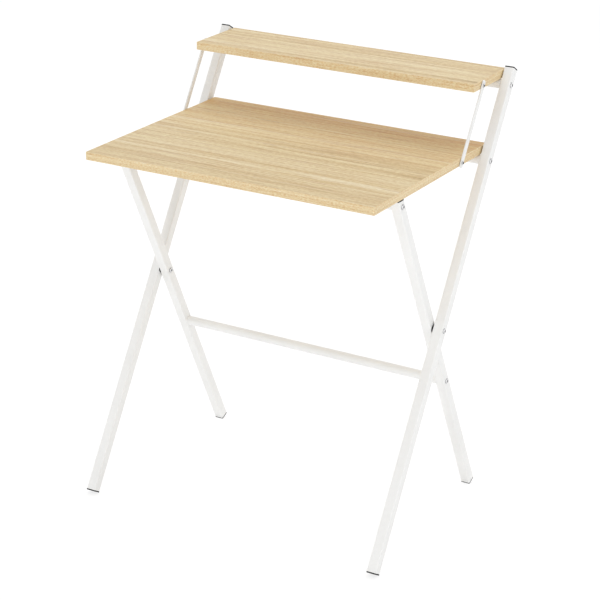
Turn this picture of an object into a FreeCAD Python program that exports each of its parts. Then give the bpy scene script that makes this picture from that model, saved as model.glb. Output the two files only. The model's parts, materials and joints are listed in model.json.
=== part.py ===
import FreeCAD, Part
import os
import Sketcher

# Folding desk: two tall legs lean back and carry a desktop and a small shelf on round pivot bars. Two short
# legs cross them like scissors and prop the front of the desktop. Links keep shelf and desktop parallel.
# Millimetres and degrees. X runs across the desk, the user sits at negative Y, the floor is at Z 0.

SIZES = {
    # Boards: particle board faced with oak laminate, with a plastic band glued round the edges.
    "desktop_width": 640,
    "desktop_depth": 455,
    "desktop_height": 741,
    "shelf_depth": 145,
    "board_thickness": 16,
    "edge_band_thickness": 1,
    "edge_corner_radius": 2,
    "edge_round": 0.6,
    # Leg tubes: square steel tube with rounded corners.
    "tube_width": 20,
    "tube_wall": 1.2,
    "tube_corner_radius": 2,
    "tube_inner_radius": 0.8,
    "tall_lean": 31.5,
    "short_lean": 25.3,
    "side_clearance": 2.5,
    "leg_gap": 3.2,
    "crossing_drop": 346,
    "tall_top_reach": 33,
    # Cross bars: round steel tube with a threaded plug in each end.
    "bar_diameter": 19,
    "bar_wall": 1.2,
    "bar_board_gap": 1,
    "pivot_spacing": 156.5,
    "desktop_pivot_setback": 28,
    "shelf_pivot_setback": 25,
    "upper_bar_drop": 15.3,
    "lower_bar_reach": 150,
    "plug_length": 18,
    # End caps: plastic flange with a hollow plug pushed into the tube.
    "cap_flange": 2.5,
    "cap_round": 0.8,
    "cap_plug_depth": 12,
    "cap_plug_wall": 1.6,
    "rest_pad_plug_depth": 5,
    # Bolts: low button heads with a hexagon socket.
    "bolt_diameter": 6,
    "bolt_head_diameter": 11,
    "bolt_head_top": 6.4,
    "bolt_head_height": 2.4,
    "bolt_head_rim": 0.7,
    "bolt_engagement": 14,
    "socket_width": 4,
    "socket_depth": 1.3,
    # Crossing pivots: sleeve nut through the short leg, nylon washer between the legs.
    "sleeve_diameter": 9,
    "sleeve_floor": 1,
    "washer_diameter": 18,
    # Links: flat steel bars on shoulder screws in the board edges.
    "link_width": 10,
    "link_thickness": 3,
    "link_end_reach": 10.6,
    "link_forward": 85.5,
    "link_screw_height": 6.5,
    "link_washer_diameter": 9,
    "link_washer_thickness": 0.5,
    "link_shoulder_diameter": 5.5,
    "link_thread_diameter": 4,
    "link_thread_length": 24,
    "link_head_diameter": 7.4,
    "link_head_top": 6,
    "link_head_height": 1.6,
    "link_head_rim": 0.5,
    "link_socket_width": 4,
    # Saddles: straps under the boards that turn on the pivot bars.
    "saddle_x": 225,
    "saddle_width": 24,
    "saddle_wall": 2.5,
    "saddle_flange": 3,
    "saddle_flange_reach": 22,
    "saddle_screw_reach": 17.2,
    # Clips: hooks under the desktop that hold the upper bar from the front.
    "clip_x": 170,
    "clip_width": 20,
    "clip_wall": 2.6,
    "clip_flange": 3,
    "clip_flange_reach": 24,
    "clip_screw_reach": 18.4,
    "clip_hook_angle": 15,
    "clip_open_angle": 50,
    # Board screws: pan heads with a cross recess.
    "screw_diameter": 4,
    "screw_head_diameter": 8,
    "screw_head_top": 5.6,
    "screw_head_height": 2.4,
    "screw_head_rim": 0.9,
    "screw_bite": 11,
    "recess_reach": 2.2,
    "recess_width": 1.1,
    "recess_depth": 1.2,
    # Clearances: turning pins, plugs in tubes, straps on bars, faces that slide or rest, blind hole ends.
    "running_fit": 0.05,
    "insert_fit": 0.05,
    "loose_fit": 0.3,
    "seat_gap": 0.2,
    "hole_end_gap": 0.5,
}


def dome_centre(head):
    """Formula for the place on its axis of the centre of the arc from a head's rim to its flat top."""
    height, rim = f"Sizes.{head}_height", f"Sizes.{head}_rim"
    squares = f"{height}^2 + Sizes.{head}_top^2 / 4 - {rim}^2 - Sizes.{head}_diameter^2 / 4"
    return f"({squares}) / (2 * ({height} - {rim}))"


LAYOUT = {
    # Places across the desk, on its right side.
    "board_side_x": "Sizes.desktop_width / 2",
    "tall_inner_x": "board_side_x + Sizes.side_clearance",
    "tall_middle_x": "tall_inner_x + Sizes.tube_width / 2",
    "tall_outer_x": "tall_inner_x + Sizes.tube_width",
    "short_outer_x": "tall_inner_x - Sizes.leg_gap",
    "short_middle_x": "short_outer_x - Sizes.tube_width / 2",
    "short_inner_x": "short_outer_x - Sizes.tube_width",
    "link_inner_x": "board_side_x + Sizes.link_washer_thickness + Sizes.seat_gap",
    "link_middle_x": "link_inner_x + Sizes.link_thickness / 2",
    "link_head_x": "link_inner_x + Sizes.link_thickness + Sizes.seat_gap",
    # Desktop pivot bar: its height comes from the board, its depth centres the whole desk on Y 0. A foot
    # stands on the rounded edge of its cap, which lies a little above the sharp corner of the tube's end.
    "pivot_drop": "Sizes.bar_diameter / 2 + Sizes.bar_board_gap",
    "desktop_underside": "Sizes.desktop_height - Sizes.board_thickness",
    "desktop_pivot_z": "desktop_underside - pivot_drop",
    "tube_half": "Sizes.tube_width / 2",
    "tall_foot_sink": "tube_half * sin(Sizes.tall_lean)",
    "tall_foot_lift": "Sizes.cap_round * (sin(Sizes.tall_lean) + cos(Sizes.tall_lean) - 1)",
    "tall_foot_length": "(desktop_pivot_z - tall_foot_sink + tall_foot_lift) / cos(Sizes.tall_lean)",
    "tall_foot_reach": "tall_foot_length - Sizes.cap_flange",
    "tall_head_length": "Sizes.pivot_spacing + Sizes.tall_top_reach + Sizes.cap_flange",
    "desktop_pivot_y": "(tall_foot_length - tall_head_length) * sin(Sizes.tall_lean) / 2",
    "desktop_rear_y": "desktop_pivot_y + Sizes.desktop_pivot_setback",
    # Shelf pivot bar, up the tall leg.
    "shelf_pivot_y": "desktop_pivot_y + Sizes.pivot_spacing * sin(Sizes.tall_lean)",
    "shelf_pivot_z": "desktop_pivot_z + Sizes.pivot_spacing * cos(Sizes.tall_lean)",
    "shelf_underside": "shelf_pivot_z + pivot_drop",
    "shelf_rear_y": "shelf_pivot_y + Sizes.shelf_pivot_setback",
    # Ends of the tall leg tube.
    "tall_top_y": "shelf_pivot_y + Sizes.tall_top_reach * sin(Sizes.tall_lean)",
    "tall_top_z": "shelf_pivot_z + Sizes.tall_top_reach * cos(Sizes.tall_lean)",
    "tall_foot_y": "desktop_pivot_y - tall_foot_reach * sin(Sizes.tall_lean)",
    "tall_foot_z": "desktop_pivot_z - tall_foot_reach * cos(Sizes.tall_lean)",
    # Crossing pivot, down the tall leg, and the short leg that turns on it.
    "crossing_y": "desktop_pivot_y - Sizes.crossing_drop * sin(Sizes.tall_lean)",
    "crossing_z": "desktop_pivot_z - Sizes.crossing_drop * cos(Sizes.tall_lean)",
    "pad_top_z": "desktop_underside - Sizes.seat_gap",
    "short_top_z": "pad_top_z - Sizes.cap_flange",
    "short_foot_sink": "tube_half * sin(Sizes.short_lean)",
    "short_foot_lift": "Sizes.cap_round * (sin(Sizes.short_lean) + cos(Sizes.short_lean) - 1)",
    "short_foot_length": "(crossing_z - short_foot_sink + short_foot_lift) / cos(Sizes.short_lean)",
    "short_foot_reach": "short_foot_length - Sizes.cap_flange",
    "short_foot_y": "crossing_y + short_foot_reach * sin(Sizes.short_lean)",
    "short_foot_z": "crossing_z - short_foot_reach * cos(Sizes.short_lean)",
    "upper_bar_z": "desktop_underside - Sizes.upper_bar_drop",
    "upper_bar_reach": "(upper_bar_z - crossing_z) / cos(Sizes.short_lean)",
    "upper_bar_y": "crossing_y - upper_bar_reach * sin(Sizes.short_lean)",
    "lower_bar_y": "crossing_y + Sizes.lower_bar_reach * sin(Sizes.short_lean)",
    "lower_bar_z": "crossing_z - Sizes.lower_bar_reach * cos(Sizes.short_lean)",
    # Link pivots: below the middle of the board edges, ahead of the pivot bars.
    "link_rise": "pivot_drop + Sizes.link_screw_height",
    "desktop_link_y": "desktop_pivot_y - Sizes.link_forward",
    "desktop_link_z": "desktop_pivot_z + link_rise",
    "shelf_link_y": "shelf_pivot_y - Sizes.link_forward",
    "shelf_link_z": "shelf_pivot_z + link_rise",
    # Radii that several pieces share.
    "bar_radius": "Sizes.bar_diameter / 2",
    "bolt_hole_radius": "Sizes.bolt_diameter / 2 + Sizes.running_fit",
    "sleeve_hole_radius": "Sizes.sleeve_diameter / 2 + Sizes.running_fit",
    "screw_hole_radius": "Sizes.screw_diameter / 2 + Sizes.running_fit",
    "thread_hole_radius": "Sizes.link_thread_diameter / 2 + Sizes.running_fit",
    "shoulder_hole_radius": "Sizes.link_shoulder_diameter / 2 + Sizes.running_fit",
    "open_hole_radius": "Sizes.link_shoulder_diameter / 2 + Sizes.loose_fit",
    "strap_radius": "bar_radius + Sizes.loose_fit",
    # Centres of the domes of the heads.
    "bolt_dome": dome_centre("bolt_head"),
    "link_dome": dome_centre("link_head"),
    "screw_dome": dome_centre("screw_head"),
}

COUNTER_CLOCKWISE = "counter clockwise"
CLOCKWISE = "clockwise"
# Numbers of an edge's start, end and centre in a sketch, and of the sketch's own origin.
START, END, CENTRE = range(1, 4)
SKETCH_ORIGIN = (-1, START)
HEXAGON_SIDES = 6
FULL_TURN = 360
TOUCHING = 1e-4

doc = FreeCAD.newDocument("folding_desk")


def fill_sheet(name, cells):
    """Sheet with one named cell in each row: the name in column A and its value in column B."""
    sheet = doc.addObject("Spreadsheet::Sheet", name)
    for row, (alias, content) in enumerate(cells.items(), start=1):
        sheet.set(f"A{row}", alias)
        sheet.setAlias(f"B{row}", alias)
        sheet.set(f"B{row}", content)
    doc.recompute()
    return sheet


fill_sheet("Sizes", {name: str(size) for name, size in SIZES.items()})
layout = fill_sheet("Layout", {name: f"={formula}" for name, formula in LAYOUT.items()})


def number(formula):
    """Value of a formula written in terms of the two sheets."""
    result = layout.evalExpression(formula)
    return float(getattr(result, "Value", result))


def new_body(name, x, y, z, turn=None):
    """Empty body at a place given by formulas, turned about X by a formula in degrees."""
    body = doc.addObject("PartDesign::Body", name)
    body.Label = name
    body.setExpression("Placement.Base.x", x)
    body.setExpression("Placement.Base.y", y)
    body.setExpression("Placement.Base.z", z)
    if turn is not None:
        across = FreeCAD.Vector(1, 0, 0)
        body.Placement = FreeCAD.Placement(FreeCAD.Vector(), FreeCAD.Rotation(across, number(turn)))
        body.setExpression("Placement.Rotation.Angle", turn)
    return body


def new_sketch(body, name, role, offset=None):
    """Sketch on one of the body's own origin planes, moved along the plane's normal by a formula."""
    sketch = body.newObject("Sketcher::SketchObject", f"{body.Name}_{name}")
    plane = next(feature for feature in body.Origin.OriginFeatures if feature.Role == role)
    sketch.AttachmentSupport = [(plane, "")]
    sketch.MapMode = "FlatFace"
    if offset is not None:
        sketch.setExpression("AttachmentOffset.Base.z", offset)
    return sketch


def hold(sketch, kind, edge, point, formula):
    """Holds one point of the sketch at a formula's distance from the sketch origin along one axis."""
    constraint = Sketcher.Constraint(kind, *SKETCH_ORIGIN, edge, point, number(formula))
    index = sketch.addConstraint(constraint)
    sketch.setExpression(f"Constraints[{index}]", formula)


def outline(sketch, corners):
    """Closed outline through corners (x, y). A corner (x, y, centre x, centre y, sense) ends an arc."""
    places = [FreeCAD.Vector(number(corner[0]), number(corner[1]), 0) for corner in corners]
    edges = []
    for index, corner in enumerate(corners):
        start, end = places[index - 1], places[index]
        if len(corner) == 2:
            edge = sketch.addGeometry(Part.LineSegment(start, end))
            edges.append((edge, START, END))
            continue
        centre = FreeCAD.Vector(number(corner[2]), number(corner[3]), 0)
        ends = (start, end) if corner[4] == COUNTER_CLOCKWISE else (end, start)
        circle = Part.Circle(centre, FreeCAD.Vector(0, 0, 1), (start - centre).Length)
        angles = [circle.parameter(place) for place in ends]
        edge = sketch.addGeometry(Part.ArcOfCircle(circle, *angles))
        edges.append((edge, START, END) if corner[4] == COUNTER_CLOCKWISE else (edge, END, START))
    for index, (edge, start_point, end_point) in enumerate(edges):
        before = edges[index - 1]
        sketch.addConstraint(Sketcher.Constraint("Coincident", before[0], before[2], edge, start_point))
    for index, (edge, start_point, end_point) in enumerate(edges):
        corner = corners[index]
        hold(sketch, "DistanceX", edge, end_point, corner[0])
        hold(sketch, "DistanceY", edge, end_point, corner[1])
        if len(corner) > 2:
            chord = places[index] - places[index - 1]
            if abs(chord.x) > abs(chord.y):
                hold(sketch, "DistanceY", edge, CENTRE, corner[3])
            else:
                hold(sketch, "DistanceX", edge, CENTRE, corner[2])


def circle(sketch, x, y, radius):
    """Circle with its centre and radius given by formulas."""
    centre = FreeCAD.Vector(number(x), number(y), 0)
    edge = sketch.addGeometry(Part.Circle(centre, FreeCAD.Vector(0, 0, 1), number(radius)))
    hold(sketch, "DistanceX", edge, CENTRE, x)
    hold(sketch, "DistanceY", edge, CENTRE, y)
    index = sketch.addConstraint(Sketcher.Constraint("Radius", edge, number(radius)))
    sketch.setExpression(f"Constraints[{index}]", radius)


def rounded_rectangle(sketch, left, front, right, rear, radius):
    """Rectangle between four formulas, with its corners rounded."""
    near_left, near_right = f"{left} + {radius}", f"{right} - {radius}"
    near_front, near_rear = f"{front} + {radius}", f"{rear} - {radius}"
    outline(sketch, [
        (near_right, front),
        (right, near_front, near_right, near_front, COUNTER_CLOCKWISE),
        (right, near_rear),
        (near_right, rear, near_right, near_rear, COUNTER_CLOCKWISE),
        (near_left, rear),
        (left, near_rear, near_left, near_rear, COUNTER_CLOCKWISE),
        (left, near_front),
        (near_left, front, near_left, near_front, COUNTER_CLOCKWISE),
    ])


def rectangle(sketch, left, front, right, rear):
    """Rectangle between four formulas."""
    outline(sketch, [(left, front), (right, front), (right, rear), (left, rear)])


def rounded_square(sketch, half_width, radius):
    """Square about the sketch origin, with its corners rounded."""
    low, high = f"-({half_width})", f"({half_width})"
    rounded_rectangle(sketch, low, low, high, high, radius)


def hexagon(sketch, width):
    """Regular hexagon about the sketch origin, given by its width across flats."""
    reach = f"{width} / sqrt(3)"
    turns = [FULL_TURN / HEXAGON_SIDES * side for side in range(HEXAGON_SIDES)]
    outline(sketch, [(f"{reach} * cos({turn})", f"{reach} * sin({turn})") for turn in turns])


def pad(body, sketch, length, reverse=False, symmetric=False):
    """Pad of a sketch: along its normal, against it, or half to each side."""
    feature = body.newObject("PartDesign::Pad", f"{sketch.Name}_pad")
    feature.Profile = sketch
    feature.setExpression("Length", length)
    feature.Reversed = reverse
    if symmetric:
        feature.SideType = "Symmetric"
    return feature


def cut_through(body, sketch):
    """Pocket through all of the body, to both sides of the sketch."""
    feature = body.newObject("PartDesign::Pocket", f"{sketch.Name}_cut")
    feature.Profile = sketch
    feature.SideType = "Symmetric"
    feature.Type = "ThroughAll"
    return feature


def cut_blind(body, sketch, depth, along_normal=False):
    """Pocket of a given depth, against the sketch normal or along it."""
    feature = body.newObject("PartDesign::Pocket", f"{sketch.Name}_cut")
    feature.Profile = sketch
    feature.setExpression("Length", depth)
    feature.Reversed = along_normal
    return feature


def turn_solid(body, sketch, axis):
    """Full revolution of a sketch about one of its own axes."""
    feature = body.newObject("PartDesign::Revolution", f"{sketch.Name}_turned")
    feature.Profile = sketch
    feature.ReferenceAxis = (sketch, [axis])
    feature.Angle = FULL_TURN
    return feature


def round_edges(body, feature, radius, wanted):
    """Fillet on the edges of a feature whose box passes a test."""
    doc.recompute()
    edges = enumerate(feature.Shape.Edges, start=1)
    names = [f"Edge{index}" for index, edge in edges if wanted(edge.BoundBox)]
    fillet = body.newObject("PartDesign::Fillet", f"{feature.Name}_round")
    fillet.Base = (feature, names)
    fillet.setExpression("Radius", radius)
    return fillet


def mirror(source, name):
    """Left hand copy of a right hand piece."""
    copy = doc.addObject("Part::Mirroring", name)
    copy.Label = name
    copy.Source = source
    copy.Normal = FreeCAD.Vector(1, 0, 0)
    return copy


def both_sides(name, pieces):
    """Node that groups right hand pieces with their left hand copies."""
    members = list(pieces)
    members.extend(mirror(piece, f"{piece.Name}_left") for piece in pieces)
    node = doc.addObject("Part::Compound", name)
    node.Label = name
    node.Links = members
    return node


def leg_tube(name, x, y, z, turn, foot_reach, top_reach):
    """Square tube along the body's Z, from the foot reach below its origin to the top reach above."""
    body = new_body(name, x, y, z, turn)
    section = new_sketch(body, "section", "XY_Plane", f"-({foot_reach})")
    rounded_square(section, "Layout.tube_half", "Sizes.tube_corner_radius")
    rounded_square(section, "Layout.tube_half - Sizes.tube_wall", "Sizes.tube_inner_radius")
    pad(body, section, f"{foot_reach} + {top_reach}")
    return body


def cross_holes(body, holes):
    """Holes across a leg tube, each a height along the leg and a radius."""
    sketch = new_sketch(body, "holes", "YZ_Plane")
    for height, radius in holes:
        circle(sketch, "0", height, radius)
    cut_through(body, sketch)


def level_height(y, z):
    """Height along the short leg, at its own depth y, where it meets the level plane z."""
    return f"({z} - Layout.crossing_z - ({y}) * sin(Sizes.short_lean)) / cos(Sizes.short_lean)"


def level_cut(body, name, z, above):
    """Cuts a piece of the short leg along the level plane z, taking what is above it or below it."""
    front, rear = "-Sizes.tube_width", "Sizes.tube_width"
    sketch = new_sketch(body, name, "YZ_Plane")
    corner = (rear, level_height(front, z)) if above else (front, level_height(rear, z))
    outline(sketch, [(front, level_height(front, z)), (rear, level_height(rear, z)), corner])
    cut_through(body, sketch)


def cap_plug(body, offset, length, reverse):
    """Hollow plug of an end cap, inside the leg tube."""
    outside = "Layout.tube_half - Sizes.tube_wall - Sizes.insert_fit"
    sketch = new_sketch(body, "plug", "XY_Plane", offset)
    rounded_square(sketch, outside, "Sizes.tube_inner_radius")
    rounded_square(sketch, f"{outside} - Sizes.cap_plug_wall", "Sizes.tube_inner_radius")
    pad(body, sketch, length, reverse=reverse)


def end_cap(name, x, y, z, turn):
    """Cap on a tube end that is cut square. The body's Z points out of the tube."""
    body = new_body(name, x, y, z, turn)
    flange = new_sketch(body, "flange", "XY_Plane")
    rounded_square(flange, "Layout.tube_half", "Sizes.tube_corner_radius")
    plate = pad(body, flange, "Sizes.cap_flange")
    face_height = number("Sizes.cap_flange") - TOUCHING
    round_edges(body, plate, "Sizes.cap_round", lambda box: box.ZMin > face_height)
    cap_plug(body, None, "Sizes.cap_plug_depth", reverse=True)
    return body


def round_bar(name, y, z, half_length):
    """Round tube across the desk."""
    body = new_body(name, "0", y, z)
    section = new_sketch(body, "section", "YZ_Plane")
    circle(section, "0", "0", "Layout.bar_radius")
    circle(section, "0", "0", "Layout.bar_radius - Sizes.bar_wall")
    pad(body, section, f"2 * {half_length}", symmetric=True)
    return body


def ring(name, x, y, z, outer_radius, inner_radius, length):
    """Ring on an axis across the desk, from its place towards the middle of the desk."""
    body = new_body(name, x, y, z)
    section = new_sketch(body, "section", "YZ_Plane")
    circle(section, "0", "0", outer_radius)
    circle(section, "0", "0", inner_radius)
    pad(body, section, length, reverse=True)
    return body


def bar_plug(name, x, y, z):
    """Threaded plug in the end of a round bar."""
    outer_radius = "Layout.bar_radius - Sizes.bar_wall - Sizes.insert_fit"
    return ring(name, x, y, z, outer_radius, "Layout.bolt_hole_radius", "Sizes.plug_length")


def hex_socket(body, width, place, depth, along_normal=False):
    """Hexagon socket in a head, cut from the plane at a place along X."""
    sketch = new_sketch(body, "socket", "YZ_Plane", place)
    hexagon(sketch, width)
    cut_blind(body, sketch, depth, along_normal)


def button_bolt(name, x, y, z):
    """Bolt through a leg tube. Its origin is under the head, its shank points to the desk's middle."""
    body = new_body(name, x, y, z)
    profile = new_sketch(body, "profile", "XY_Plane")
    tip = "-(Sizes.tube_width + Sizes.bolt_engagement)"
    outline(profile, [
        (tip, "0"),
        ("Sizes.bolt_head_height", "0"),
        ("Sizes.bolt_head_height", "Sizes.bolt_head_top / 2"),
        ("Sizes.bolt_head_rim", "Sizes.bolt_head_diameter / 2", "Layout.bolt_dome", "0", COUNTER_CLOCKWISE),
        ("0", "Sizes.bolt_head_diameter / 2"),
        ("0", "Sizes.bolt_diameter / 2"),
        (tip, "Sizes.bolt_diameter / 2"),
    ])
    turn_solid(body, profile, "H_Axis")
    hex_socket(body, "Sizes.socket_width", "Sizes.bolt_head_height", "Sizes.socket_depth")
    return body


def sleeve_nut(name):
    """Sleeve that the short leg turns on, with its head on the inner face of the leg."""
    body = new_body(name, "Layout.short_inner_x - Sizes.seat_gap", "Layout.crossing_y", "Layout.crossing_z")
    profile = new_sketch(body, "profile", "XY_Plane")
    tip = "Layout.tall_inner_x - Layout.short_inner_x + Sizes.seat_gap"
    outline(profile, [
        ("-Sizes.bolt_head_height", "0"),
        ("Sizes.sleeve_floor", "0"),
        ("Sizes.sleeve_floor", "Layout.bolt_hole_radius"),
        (tip, "Layout.bolt_hole_radius"),
        (tip, "Sizes.sleeve_diameter / 2"),
        ("0", "Sizes.sleeve_diameter / 2"),
        ("0", "Sizes.bolt_head_diameter / 2"),
        ("-Sizes.bolt_head_rim", "Sizes.bolt_head_diameter / 2"),
        ("-Sizes.bolt_head_height", "Sizes.bolt_head_top / 2", "-Layout.bolt_dome", "0", COUNTER_CLOCKWISE),
    ])
    turn_solid(body, profile, "H_Axis")
    hex_socket(body, "Sizes.socket_width", "-Sizes.bolt_head_height", "Sizes.socket_depth", along_normal=True)
    return body


def link_bar(name):
    """Flat bar with round ends. Its lower hole fits the screw, its upper hole is a little larger."""
    body = new_body(name, "Layout.link_middle_x", "Layout.desktop_link_y", "Layout.desktop_link_z",
                    "-Sizes.tall_lean")
    half = "Sizes.link_width / 2"
    low = f"-(Sizes.link_end_reach - {half})"
    high = f"Sizes.pivot_spacing + Sizes.link_end_reach - {half}"
    shape = new_sketch(body, "shape", "YZ_Plane")
    outline(shape, [
        (half, low, "0", low, COUNTER_CLOCKWISE),
        (half, high),
        (f"-{half}", high, "0", high, COUNTER_CLOCKWISE),
        (f"-{half}", low),
    ])
    circle(shape, "0", "0", "Layout.shoulder_hole_radius")
    circle(shape, "0", "Sizes.pivot_spacing", "Layout.open_hole_radius")
    pad(body, shape, "Sizes.link_thickness", symmetric=True)
    return body


def link_screw(name, y, z):
    """Shoulder screw in a board edge. Its origin is under the head."""
    body = new_body(name, "Layout.link_head_x", y, z)
    seat = "-(Layout.link_head_x - Layout.board_side_x)"
    tip = f"{seat} - Sizes.link_thread_length"
    profile = new_sketch(body, "profile", "XY_Plane")
    outline(profile, [
        (tip, "0"),
        ("Sizes.link_head_height", "0"),
        ("Sizes.link_head_height", "Sizes.link_head_top / 2"),
        ("Sizes.link_head_rim", "Sizes.link_head_diameter / 2", "Layout.link_dome", "0", COUNTER_CLOCKWISE),
        ("0", "Sizes.link_head_diameter / 2"),
        ("0", "Sizes.link_shoulder_diameter / 2"),
        (seat, "Sizes.link_shoulder_diameter / 2"),
        (seat, "Sizes.link_thread_diameter / 2"),
        (tip, "Sizes.link_thread_diameter / 2"),
    ])
    turn_solid(body, profile, "H_Axis")
    hex_socket(body, "Sizes.link_socket_width", "Sizes.link_head_height", "Sizes.socket_depth")
    return body


def link_washer(name, y, z):
    """Washer between a board edge and a link."""
    place = "Layout.board_side_x + Sizes.link_washer_thickness"
    outer_radius = "Sizes.link_washer_diameter / 2"
    return ring(name, place, y, z, outer_radius, "Layout.shoulder_hole_radius", "Sizes.link_washer_thickness")


def board_core(name, rear_y, depth, underside, link_y, screw_places):
    """Laminated board inside its edge band, with blind holes for the screws below and in both sides."""
    body = new_body(name, "0", rear_y, underside)
    side = "Layout.board_side_x - Sizes.edge_band_thickness"
    front, rear = f"-({depth} - Sizes.edge_band_thickness)", "-Sizes.edge_band_thickness"
    plan = new_sketch(body, "plan", "XY_Plane")
    rectangle(plan, f"-({side})", front, side, rear)
    pad(body, plan, "Sizes.board_thickness")
    screws = new_sketch(body, "screws", "XY_Plane")
    for x, y in screw_places:
        circle(screws, x, f"{y} - {rear_y}", "Layout.screw_hole_radius")
        circle(screws, f"-{x}", f"{y} - {rear_y}", "Layout.screw_hole_radius")
    cut_blind(body, screws, "Sizes.screw_bite + Sizes.hole_end_gap", along_normal=True)
    hole_floor = "Layout.board_side_x - Sizes.link_thread_length - Sizes.hole_end_gap"
    hole_depth = "Sizes.link_thread_length + Sizes.hole_end_gap"
    for hand, place, outward in (("right", hole_floor, True), ("left", f"-({hole_floor})", False)):
        sketch = new_sketch(body, f"{hand}_link_hole", "YZ_Plane", place)
        circle(sketch, f"{link_y} - {rear_y}", "Sizes.link_screw_height", "Layout.thread_hole_radius")
        cut_blind(body, sketch, hole_depth, along_normal=outward)
    return body


def edge_band(name, rear_y, depth, underside, link_y):
    """Plastic band round a board, with its outer edges and corners rounded and a hole in each side."""
    body = new_body(name, "0", rear_y, underside)
    side = "Layout.board_side_x"
    inner_side = "Layout.board_side_x - Sizes.edge_band_thickness"
    front, rear = f"-({depth} - Sizes.edge_band_thickness)", "-Sizes.edge_band_thickness"
    plan = new_sketch(body, "plan", "XY_Plane")
    rounded_rectangle(plan, f"-{side}", f"-{depth}", side, "0", "Sizes.edge_corner_radius")
    rectangle(plan, f"-({inner_side})", front, inner_side, rear)
    strip = pad(body, plan, "Sizes.board_thickness")
    outer_x = number(side) - TOUCHING
    outer_front = TOUCHING - number(depth)

    def on_outer_edge(box):
        beyond_sides = box.XMax > outer_x or box.XMin < -outer_x
        beyond_ends = box.YMax > -TOUCHING or box.YMin < outer_front
        return box.ZLength < TOUCHING and (beyond_sides or beyond_ends)

    round_edges(body, strip, "Sizes.edge_round", on_outer_edge)
    holes = new_sketch(body, "link_holes", "YZ_Plane")
    circle(holes, f"{link_y} - {rear_y}", "Sizes.link_screw_height", "Layout.thread_hole_radius")
    cut_through(body, holes)
    return body


def flange_holes(body, reach):
    """Screw holes in the two flanges of a saddle or clip."""
    sketch = new_sketch(body, "flange_holes", "XY_Plane")
    circle(sketch, "0", reach, "Layout.screw_hole_radius")
    circle(sketch, "0", f"-{reach}", "Layout.screw_hole_radius")
    cut_through(body, sketch)


def hinge_saddle(name, y, underside):
    """Strap round a pivot bar, with a flange to each side under the board."""
    body = new_body(name, "Sizes.saddle_x", y, underside)
    reach, floor, level = "Sizes.saddle_flange_reach", "-Sizes.saddle_flange", "-Layout.pivot_drop"
    inner = "Layout.strap_radius"
    outer = "(Layout.strap_radius + Sizes.saddle_wall)"
    profile = new_sketch(body, "profile", "YZ_Plane")
    outline(profile, [
        (f"-{reach}", "0"),
        (f"-{reach}", floor),
        (f"-{outer}", floor),
        (f"-{outer}", level),
        (outer, level, "0", level, COUNTER_CLOCKWISE),
        (outer, floor),
        (reach, floor),
        (reach, "0"),
        (inner, "0"),
        (inner, level),
        (f"-{inner}", level, "0", level, CLOCKWISE),
        (f"-{inner}", "0"),
    ])
    pad(body, profile, "Sizes.saddle_width", symmetric=True)
    flange_holes(body, "Sizes.saddle_screw_reach")
    return body


def bar_clip(name):
    """Hook over the upper bar: the front jaw reaches below its middle, the rear jaw stops high above it."""
    body = new_body(name, "Sizes.clip_x", "Layout.upper_bar_y", "Layout.desktop_underside")
    reach, floor, level = "Sizes.clip_flange_reach", "-Sizes.clip_flange", "-Sizes.upper_bar_drop"
    inner = "Layout.strap_radius"
    outer = "(Layout.strap_radius + Sizes.clip_wall)"
    hook, opening = "Sizes.clip_hook_angle", "Sizes.clip_open_angle"
    profile = new_sketch(body, "profile", "YZ_Plane")
    outline(profile, [
        (f"-{reach}", "0"),
        (f"-{reach}", floor),
        (f"-{outer}", floor),
        (f"-{outer}", level),
        (f"-{outer} * cos({hook})", f"{level} - {outer} * sin({hook})", "0", level, COUNTER_CLOCKWISE),
        (f"-{inner} * cos({hook})", f"{level} - {inner} * sin({hook})"),
        (f"{inner} * cos({opening})", f"{level} + {inner} * sin({opening})", "0", level, CLOCKWISE),
        (f"{outer} * cos({opening})", f"{level} + {outer} * sin({opening})"),
        (f"{outer} * cos({opening})", floor),
        (reach, floor),
        (reach, "0"),
    ])
    pad(body, profile, "Sizes.clip_width", symmetric=True)
    flange_holes(body, "Sizes.clip_screw_reach")
    return body


def board_screw(name, x, y, underside, flange):
    """Pan head screw up through a flange into a board. Its origin is on top of the head."""
    body = new_body(name, x, y, f"{underside} - {flange}")
    tip = f"{flange} + Sizes.screw_bite"
    head_radius = "Sizes.screw_head_diameter / 2"
    profile = new_sketch(body, "profile", "XZ_Plane")
    outline(profile, [
        ("0", "-Sizes.screw_head_height"),
        ("Sizes.screw_head_top / 2", "-Sizes.screw_head_height"),
        (head_radius, "-Sizes.screw_head_rim", "0", "-Layout.screw_dome", COUNTER_CLOCKWISE),
        (head_radius, "0"),
        ("Sizes.screw_diameter / 2", "0"),
        ("Sizes.screw_diameter / 2", tip),
        ("0", tip),
    ])
    turn_solid(body, profile, "V_Axis")
    recess = new_sketch(body, "recess", "XY_Plane", "-Sizes.screw_head_height")
    reach, half = "Sizes.recess_reach", "Sizes.recess_width / 2"
    outline(recess, [
        (reach, f"-{half}"), (reach, half), (half, half),
        (half, reach), (f"-{half}", reach), (f"-{half}", half),
        (f"-{reach}", half), (f"-{reach}", f"-{half}"), (f"-{half}", f"-{half}"),
        (f"-{half}", f"-{reach}"), (half, f"-{reach}"), (half, f"-{half}"),
    ])
    cut_blind(body, recess, "Sizes.recess_depth", along_normal=True)
    return body


def screw_pair(name, x, y, reach, underside, flange):
    """The front and rear screws of a saddle or clip."""
    front = board_screw(f"{name}_front", x, f"{y} - {reach}", underside, flange)
    rear = board_screw(f"{name}_rear", x, f"{y} + {reach}", underside, flange)
    return [front, rear]


nodes = []

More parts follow.
